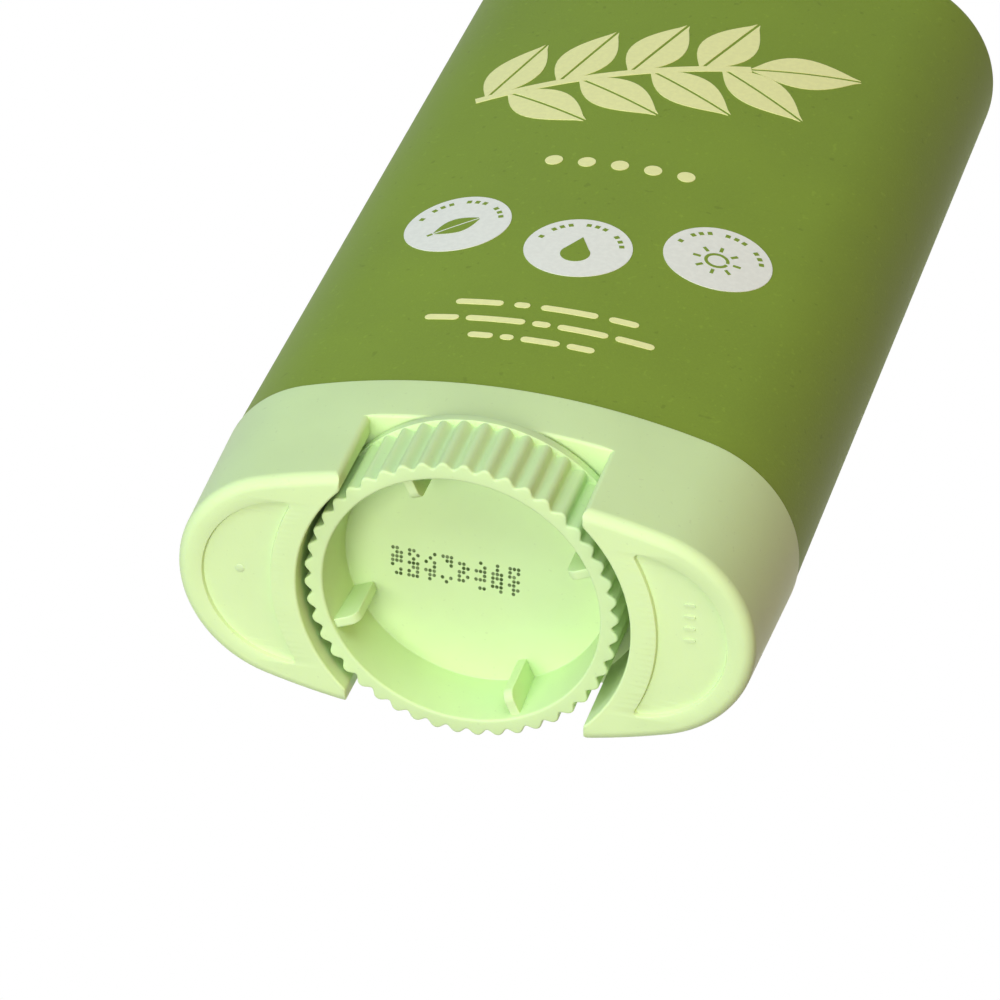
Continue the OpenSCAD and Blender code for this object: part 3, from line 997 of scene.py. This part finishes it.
def gusset_mesh(sizes):
    """One gusset: an upright fin with a rounded free corner and soft edges."""
    rim = DIAL_LO.z
    floor = rim + sizes.depth
    half = sizes.gusset / 2
    into_wall, into_floor, below_rim, soft = 0.15 * MM, 0.3 * MM, 0.45 * MM, 0.13 * MM
    outer = sizes.rim_radius + into_wall
    inner = sizes.rim_radius - sizes.gusset_reach
    low = rim + below_rim
    bend = sizes.gusset_round
    side = quarter(inner + bend, low + bend, bend, 180, 270, 8)
    side += [(outer, low), (outer, floor + into_floor), (inner, floor + into_floor)]
    work = bmesh.new()
    rings = [[work.verts.new((r, y, z)) for r, z in side] for y in (-half, half)]
    for i in range(len(side)):
        j = (i + 1) % len(side)
        work.faces.new((rings[0][i], rings[0][j], rings[1][j], rings[1][i]))
    work.faces.new(rings[0])
    work.faces.new(rings[1])
    bmesh.ops.recalc_face_normals(work, faces=work.faces)
    rims = [e for e in work.edges if abs(e.verts[0].co.y - e.verts[1].co.y) < half]
    bmesh.ops.bevel(work, geom=rims, offset=soft, segments=3, profile=0.6, affect="EDGES")
    mesh = bpy.data.meshes.new("gusset")
    work.to_mesh(mesh)
    work.free()
    return mesh


def build_gussets():
    """Four gussets between the recess wall and its floor."""
    sizes = settings("pack_dial")
    piece = ring_tree(sizes, 4).apply("dial_gussets", gusset_mesh(sizes))
    placed(piece, "dial", "dial_plastic")


def build_screw():
    """Lifting screw with its two-start thread."""
    sizes = settings("pack_dial")
    columns, rows = 32, 220
    starts, depth, crest = 2, 0.45 * MM, 0.6
    tip, tip_share = 1.5 * MM, 0.55
    shell = Shell()
    rings = []
    for i in range(rows + 1):
        z = COLLAR_TOP + (DIAL_HI.z - COLLAR_TOP) * i / rows
        taper = min(1.0, (DIAL_HI.z - z) / tip + tip_share)
        ring = []
        for k in range(columns):
            a = FULL_TURN * k / columns
            wave = 0.5 + 0.5 * math.cos(starts * (FULL_TURN * z / sizes.lead - a))
            r = (sizes.screw - depth * (1 - wave**crest)) * taper
            ring.append((r * math.cos(a) - sizes.side_play, r * math.sin(a), z))
        rings.append(ring)
    low, high = shell.loft(rings)
    shell.fill(low)
    shell.fill(high)
    piece = piece_from("lift_screw", shell, "dial", "dial_plastic", 50)


# Cap, balm and platform


def build_cap():
    """Full-height cap with its rounded closed end and its inside."""
    sizes = settings("pack_cap")
    columns = Oval().columns()
    rim = CAP_LO.z
    top = CAP_HI.z
    out = -sizes.step
    soft = 0.12 * MM
    rows = [(out - sizes.wall, top - sizes.end), (out - sizes.wall, rim + soft)]
    rows += [(out - sizes.wall + soft, rim), (out - soft, rim), (out, rim + soft)]
    rows += [(out, rim + (top - rim) * share) for share in (0.25, 0.5, 0.75)]
    steps = 14
    for i in range(steps + 1):
        a = QUARTER_TURN * i / steps
        rows.append((out - sizes.edge * (1 - math.cos(a)), top - sizes.edge * (1 - math.sin(a))))
    shell = Shell()
    low, high = shell.loft([Oval.ring(columns, grow, z) for grow, z in rows])
    shell.fill(low)
    shell.fill(high)
    piece = piece_from("cap_shell", shell, "cap", "cap_plastic")
    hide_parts("cap")


def build_balm():
    """Balm with a crowned top and a softly worn edge."""
    columns = Oval().columns()
    grow = BALM_HI.x - FOOT_HI.x
    crown = BALM_HI.z - FOOT_HI.z
    deep = BALM_HI.y
    crown_r = (deep**2 + crown**2) / (2 * crown)
    below_mouth, wear, worn_share = 0.5 * MM, 0.5 * MM, 0.1
    side = FOOT_HI.z - below_mouth

    def top_z(y):
        return BALM_HI.z - crown_r + math.sqrt(crown_r**2 - y**2)

    shell = Shell()
    rings = [Oval.ring(columns, grow, BALM_LO.z), Oval.ring(columns, grow, side)]
    edge = Oval.ring(columns, grow, 0)
    shares = [0.992, 0.975, 0.95, 0.9, 0.8, 0.65, 0.5, 0.35, 0.2, 0.08]
    for share in shares:
        worn = wear * max(0.0, (share - 1 + worn_share) / worn_share) ** 2
        rings.append([(x * share, y * share, top_z(y * share) - worn) for x, y, _ in edge])
    low, high = shell.loft(rings)
    shell.fill(low)
    shell.fan(high, (0, 0, BALM_HI.z))
    piece = piece_from("balm_block", shell, "lift", "balm", 60)
    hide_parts("balm")


def dress_platform():
    """The platform keeps its solid and gets its milky plastic."""
    node = frame["nodes"]["platform"]
    node.data.materials.clear()
    node.data.materials.append(finish_of("platform_plastic"))


# Print


def wrap_tree(oval, film, slot):
    """Tree that gives flat artwork a thickness and lays it on the cap's front face."""
    tree = GeoTree("laid_on_the_front", {
        "Face radius": (FLOAT, oval.face_r - settings("pack_cap").step),
        "Face centre": (FLOAT, oval.face_y),
        "Film": (FLOAT, film),
    }, slot)
    flat = tree.given("Geometry")
    spot = tree.add("GeometryNodeInputPosition")
    x = tree.part(spot, "X")
    lift = tree.part(spot, "Y")
    z = tree.part(spot, "Z")
    radius = tree.given("Face radius") + lift * tree.given("Film")
    y = tree.given("Face centre") - (radius * radius - x * x) ** 0.5
    laid = tree.add("GeometryNodeSetPosition", {}, {"Geometry": flat, "Position": tree.xyz(x, y, z)})
    tree.end(laid)
    return tree


class Artwork:
    """Flat shapes in the front plane, cut into strips fine enough to follow the cap's curve."""

    def __init__(self):
        self.work = bmesh.new()

    def shape(self, points):
        """Adds a closed shape of (x, z) points as a thin plate from 0 to 1 on Y."""
        loops = [[self.work.verts.new((x, y, z)) for x, z in points] for y in (0.0, 1.0)]
        for i in range(len(points)):
            j = (i + 1) % len(points)
            self.work.faces.new((loops[0][i], loops[0][j], loops[1][j], loops[1][i]))
        self.work.faces.new(loops[0])
        self.work.faces.new(loops[1])

    def stroke(self, path, width):
        """Adds a line of even width with rounded ends through (x, z) points."""
        half = width / 2
        left, right = [], []
        for i, (x, z) in enumerate(path):
            before = path[max(i - 1, 0)]
            after = path[min(i + 1, len(path) - 1)]
            dx, dz = after[0] - before[0], after[1] - before[1]
            size = math.hypot(dx, dz)
            nx, nz = -dz / size * half, dx / size * half
            left.append((x + nx, z + nz))
            right.append((x - nx, z - nz))
        self.shape(left + list(reversed(right)))

    def mesh(self, name, step=1.2 * MM):
        """Cuts the shapes into strips and gives back the mesh."""
        bmesh.ops.recalc_face_normals(self.work, faces=self.work.faces)
        lo = min(v.co.x for v in self.work.verts)
        hi = max(v.co.x for v in self.work.verts)
        for i in range(math.ceil(lo / step), math.floor(hi / step) + 1):
            everything = self.work.verts[:] + self.work.edges[:] + self.work.faces[:]
            bmesh.ops.bisect_plane(
                self.work, geom=everything, dist=1e-7, plane_co=(i * step, 0, 0), plane_no=(1, 0, 0)
            )
        made = bpy.data.meshes.new(name)
        self.work.to_mesh(made)
        self.work.free()
        return made


def turned(points, angle, x, z):
    """Points turned about the origin and moved to a place."""
    c, s = math.cos(angle), math.sin(angle)
    return [(x + px * c - pz * s, z + px * s + pz * c) for px, pz in points]


def half_leaf(long, wide, gap, side, steps=14):
    """One half of a leaf, with a gap along its midrib."""
    points = []
    for i in range(steps + 1):
        t = i / steps
        points.append((long * t, side * max(gap, wide / 2 * math.sin(HALF_TURN * t**0.9))))
    points += [(long * (1 - i / 4), side * gap * 0.9) for i in range(5)]
    return points if side > 0 else list(reversed(points))


def finish_print(name, art, slot, *nodes, layers=1):
    """Lays artwork on the cap and lets it ride. layers is the film's thickness in single films."""
    tree = wrap_tree(Oval(), settings("pack_print").film * layers, slot)
    piece = tree.apply(name, art.mesh(name + "_flat"))
    placed(piece, "cap", slot)
    if nodes:
        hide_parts(*nodes)


def build_sprig():
    """Sprig of leaves across the upper front."""
    sizes = settings("pack_print")
    pairs, spread, lean = 4, math.radians(52), math.radians(20)
    long, wide = sizes.leaf, sizes.leaf / 2
    stem = 0.9 * MM
    step = (sizes.sprig_length - long + stem) / pairs
    art = Artwork()

    def set_leaf(x, angle, gap=0.16 * MM):
        for side in (1, -1):
            half = turned(half_leaf(long, wide, gap, side), angle, x, 0)
            centred = [(px - sizes.sprig_length / 2, pz) for px, pz in half]
            art.shape(turned(centred, lean, 0, sizes.sprig_height))

    for i in range(pairs):
        for side in (-1, 1):
            set_leaf(2 * MM + i * step - side * MM, side * spread)
    set_leaf(sizes.sprig_length - long, 0)
    path = [(-sizes.sprig_length / 2 + (sizes.sprig_length - long) * i / 12, 0) for i in range(13)]
    art.stroke(turned(path, lean, 0, sizes.sprig_height), stem)
    finish_print("sprig_print", art, "yellow_ink", "print_leaves")


def disc_places(sizes):
    """Middles of the three discs, from left to right."""
    return [(i * sizes.disc_pitch, sizes.disc_height - (0 if i else sizes.disc_drop)) for i in (-1, 0, 1)]


def build_discs():
    """Row of pale discs, the middle one lower."""
    sizes = settings("pack_print")
    art = Artwork()
    for x, z in disc_places(sizes):
        art.shape(circle_points(x, z, sizes.disc, 64))
    finish_print("disc_print", art, "white_ink", "print_discs")


def drop_sign(size):
    """Outlines and lines of a drop: a round belly that runs up to a point."""
    radius, middle, steps = 0.62 * size, -0.3 * size, 24
    start, sweep = math.radians(52), math.radians(284)
    belly = arc_points(0, middle, radius, start, start - sweep, steps)[1:-1]
    return [[(0, size)] + belly], []


def leaf_sign(size):
    """Outlines and lines of a leaf: two halves along a midrib, and a stalk."""
    edge, belly, rib, steps = 0.06 * size, 0.5 * size, 0.04 * size, 16
    lean = math.radians(35)
    halves = []
    for side in (1, -1):
        half = [
            (size * (2 * i / steps - 1), side * (edge + belly * math.sin(HALF_TURN * i / steps)))
            for i in range(steps + 1)
        ]
        half += [(size, side * rib), (-size, side * rib)]
        halves.append(turned(half, lean, 0, 0))
    stalk = turned([(-1.3 * size, 0), (-1.06 * size, 0)], lean, 0, 0)
    return halves, [stalk]


def sun_sign(size):
    """Outlines and lines of a sun: a ring with rays."""
    count, radius, ray = 8, 0.45 * size, (0.68 * size, size)
    rays = [turned([(r, 0) for r in ray], FULL_TURN * k / count, 0, 0) for k in range(count)]
    return [], [circle_points(0, 0, radius, 24)] + rays


def build_signs():
    """A plain picture on each disc, with short dashes round its upper half."""
    sizes = settings("pack_print")
    art = Artwork()
    sign_size, low, line = 2.1 * MM, 0.35 * MM, 0.3 * MM
    places, group, first, pitch = 13, 4, math.radians(18), math.radians(12)
    dash_wide, dash_half = 0.42 * MM, 0.22 * MM
    reach = sizes.disc - 0.95 * MM
    dash = [(reach - dash_half, 0), (reach + dash_half, 0)]
    for (x, z), sign in zip(disc_places(sizes), (leaf_sign, drop_sign, sun_sign)):
        outlines, lines = sign(sign_size)
        for path in outlines:
            art.shape(turned(path, 0, x, z - low))
        for path in lines:
            art.stroke(turned(path, 0, x, z - low), line)
        for k in range(places):
            if k % group != group - 1:
                art.stroke(turned(dash, first + pitch * k, x, z), dash_wide)
    finish_print("sign_print", art, "cap_plastic", layers=1.4)


def build_lines():
    """Dots and short bars in place of the small print."""
    art = Artwork()
    dot, pitch, dot_z = 0.8 * MM, 3 * MM, 51.5 * MM
    for i in range(-2, 3):
        art.shape(circle_points(i * pitch, dot_z, dot, 24))
    half, bar_z, bar_step = 0.4 * MM, 21.5 * MM, 2.6 * MM
    # Length of each row and of its bars, in millimetres
    rows = (
        (11, (2.2, 1.2, 3.4, 2.4)),
        (20, (3.0, 5.2, 1.6, 4.4, 3.4)),
        (16, (4.2, 1.4, 5.0, 2.6)),
    )
    for i, (long, words) in enumerate(rows):
        z = bar_z + i * bar_step + half
        gap = (long - sum(words)) / (len(words) - 1)
        x = -long / 2
        for word in words:
            art.shape(bar_points(x * MM + half, (x + word) * MM - half, z, half, 5))
            x += word + gap
    finish_print("line_print", art, "yellow_ink", "print_bars")


# Stage


CAMERA_PLACE = Vector((109.96, -271.07, -371.7)) * MM
CAMERA_RIGHT = Vector((0.96071, 0.01701, 0.27702))
CAMERA_DOWN = Vector((0.13367, 0.84639, -0.51552))
CAMERA_FORWARD = Vector((-0.24324, 0.5323, 0.81086))
PHOTO_SIDE = 1000
OPTICAL_AXIS = (437.7, 327.3)
# Each lamp's direction from the pack, its distance and side in metres, its colour, and if a gloss shows it
LAMPS = {
    "key": ((-0.16, -0.18, -0.95), 0.6, 0.35, (1.0, 0.99, 0.95), True),
    "left": ((-0.6, -0.8, -0.42), 0.6, 0.35, (0.75, 0.85, 1.0), True),
    "front": ((0.15, -1.0, -0.42), 0.6, 0.35, (0.85, 0.98, 0.93), True),
    "right": ((0.85, -0.5, -0.42), 0.6, 0.35, (1.0, 0.3, 0.0), True),
    "back": ((0.0, 0.8, 0.7), 0.8, 0.6, (1.0, 0.99, 0.97), False),
}


def build_camera():
    """Camera at the photograph's place and angle."""
    data = bpy.data.cameras.new("view")
    data.sensor_width = 36
    data.lens = settings("pack_studio").focal
    data.shift_x = 0.5 - OPTICAL_AXIS[0] / PHOTO_SIDE
    data.shift_y = OPTICAL_AXIS[1] / PHOTO_SIDE - 0.5
    data.clip_start = 0.01
    data.clip_end = 10
    camera = bpy.data.objects.new("view", data)
    turn = Matrix((CAMERA_RIGHT, -CAMERA_DOWN, -CAMERA_FORWARD)).transposed()
    camera.matrix_world = Matrix.Translation(CAMERA_PLACE) @ turn.to_4x4()
    bpy.context.scene.collection.objects.link(camera)
    bpy.context.scene.camera = camera


def area_light(name, watts, direction, distance, side, tint, gloss):
    """Square soft light that looks at the middle of the pack."""
    data = bpy.data.lights.new(name, "AREA")
    data.shape = "SQUARE"
    data.size = side
    data.energy = watts
    data.color = tint
    light = bpy.data.objects.new(name, data)
    middle = (CAD_BOX[0] + CAD_BOX[1]) / 2
    light.visible_glossy = gloss
    light.location = middle + Vector(direction).normalized() * distance
    light.rotation_mode = "QUATERNION"
    light.rotation_quaternion = (light.location - middle).to_track_quat("Z", "Y")
    bpy.context.scene.collection.objects.link(light)


def build_world(strength):
    """Even pale surroundings, white where the camera or a gloss sees them."""
    world = bpy.data.worlds.new("studio")
    world.use_nodes = True
    bpy.context.scene.world = world
    tree = Tree(world.node_tree.nodes, world.node_tree.links)
    rays = tree.node("ShaderNodeLightPath")
    seen = Sig(tree, rays.outputs["Is Camera Ray"]) + Sig(tree, rays.outputs["Is Transmission Ray"])
    seen = (seen + Sig(tree, rays.outputs["Is Glossy Ray"])).clamp()
    back = tree.nodes["Background"]
    back.inputs["Color"].default_value = (1, 1, 1, 1)
    tree.links.new((seen * (1 - strength) + strength).socket, back.inputs["Strength"])


def floor_material():
    """Pale floor that is seen from above only."""
    made = bpy.data.materials.new("floor")
    made.use_nodes = True
    tree = Tree(made.node_tree.nodes, made.node_tree.links)
    shader = tree.nodes["Principled BSDF"]
    shader.inputs["Roughness"].default_value = 0.7
    place = tree.position()
    tone = tree.mix(tree.noise(place, 0.02, 3.0), (0.86, 0.86, 0.85, 1), (0.9, 0.9, 0.89, 1))
    tree.links.new(tone.socket, shader.inputs["Base Color"])
    behind = tree.add("ShaderNodeNewGeometry", out="Backfacing")
    clear = tree.add("ShaderNodeBsdfTransparent")
    mixed = tree.add("ShaderNodeMixShader", {}, {0: behind, 1: Sig(tree, shader.outputs[0]), 2: clear})
    tree.links.new(mixed.socket, tree.nodes["Material Output"].inputs["Surface"])
    return made


def build_floor():
    """Wide floor under the standing face."""
    side, gap = 3.0, 0.02 * MM
    mesh = bpy.data.meshes.new("floor")
    corners = [(-side, -side, 0), (side, -side, 0), (side, side, 0), (-side, side, 0)]
    mesh.from_pydata(corners, [], [(0, 1, 2, 3)])
    floor = bpy.data.objects.new("floor", mesh)
    floor.data.materials.append(floor_material())
    floor.location.z = FOOT_LO.z - gap
    floor.visible_shadow = False
    floor.visible_diffuse = False
    bpy.context.scene.collection.objects.link(floor)


# Operators


class PackFootOperator(bpy.types.Operator):
    """Builds the foot with its well and neck"""

    bl_idname = "stickpack.foot"
    bl_label = "Foot and neck"

    def execute(self, context):
        build_foot()
        build_panel_marks()
        return {"FINISHED"}


class PackDialOperator(bpy.types.Operator):
    """Builds the knurled dial, its gussets and its screw"""

    bl_idname = "stickpack.dial"
    bl_label = "Dial and screw"

    def execute(self, context):
        build_dial_cup()
        build_gussets()
        build_screw()
        return {"FINISHED"}


class PackCapOperator(bpy.types.Operator):
    """Builds the cap"""

    bl_idname = "stickpack.cap"
    bl_label = "Cap"

    def execute(self, context):
        build_cap()
        return {"FINISHED"}


class PackBalmOperator(bpy.types.Operator):
    """Builds the balm and dresses the platform"""

    bl_idname = "stickpack.balm"
    bl_label = "Balm and platform"

    def execute(self, context):
        build_balm()
        dress_platform()
        return {"FINISHED"}


class PackPrintOperator(bpy.types.Operator):
    """Lays the print on the cap's front"""

    bl_idname = "stickpack.print"
    bl_label = "Print"

    def execute(self, context):
        build_sprig()
        build_discs()
        build_signs()
        build_lines()
        return {"FINISHED"}


class PackStageOperator(bpy.types.Operator):
    """Sets up the camera, the lights and the floor"""

    bl_idname = "stickpack.stage"
    bl_label = "Studio"

    def execute(self, context):
        studio = settings("pack_studio")
        context.scene.view_settings.view_transform = "Standard"
        build_camera()
        build_world(studio.sky)
        build_floor()
        for name, lamp in LAMPS.items():
            area_light(name, getattr(studio, name), *lamp)
        return {"FINISHED"}


OPERATORS = (
    PackStageOperator,
    PackFootOperator,
    PackDialOperator,
    PackCapOperator,
    PackBalmOperator,
    PackPrintOperator,
)


class PackPanel(bpy.types.Panel):
    """Lists the sizes, the colours and the steps of the build"""

    bl_idname = "VIEW3D_PT_stickpack"
    bl_label = "Oval stick pack"
    bl_space_type = "VIEW_3D"
    bl_region_type = "UI"
    bl_category = "Stick pack"

    def draw(self, context):
        for operator in OPERATORS:
            self.layout.operator(operator.bl_idname)
        for key, group in GROUPS.items():
            box = self.layout.box()
            box.label(text=group.__name__)
            for prop in group.__annotations__:
                box.prop(getattr(context.scene, key), prop)


def register():
    for group in GROUPS.values():
        bpy.utils.register_class(group)
    for key, group in GROUPS.items():
        setattr(bpy.types.Scene, key, PointerProperty(type=group))
    for operator in OPERATORS:
        bpy.utils.register_class(operator)
    bpy.utils.register_class(PackPanel)


def unregister():
    bpy.utils.unregister_class(PackPanel)
    for operator in reversed(OPERATORS):
        bpy.utils.unregister_class(operator)
    for key in GROUPS:
        delattr(bpy.types.Scene, key)
    for group in GROUPS.values():
        bpy.utils.unregister_class(group)


def main():
    register()
    for operator in OPERATORS:
        group, name = operator.bl_idname.split(".")
        getattr(getattr(bpy.ops, group), name)()


if __name__ == "__main__":
    main()
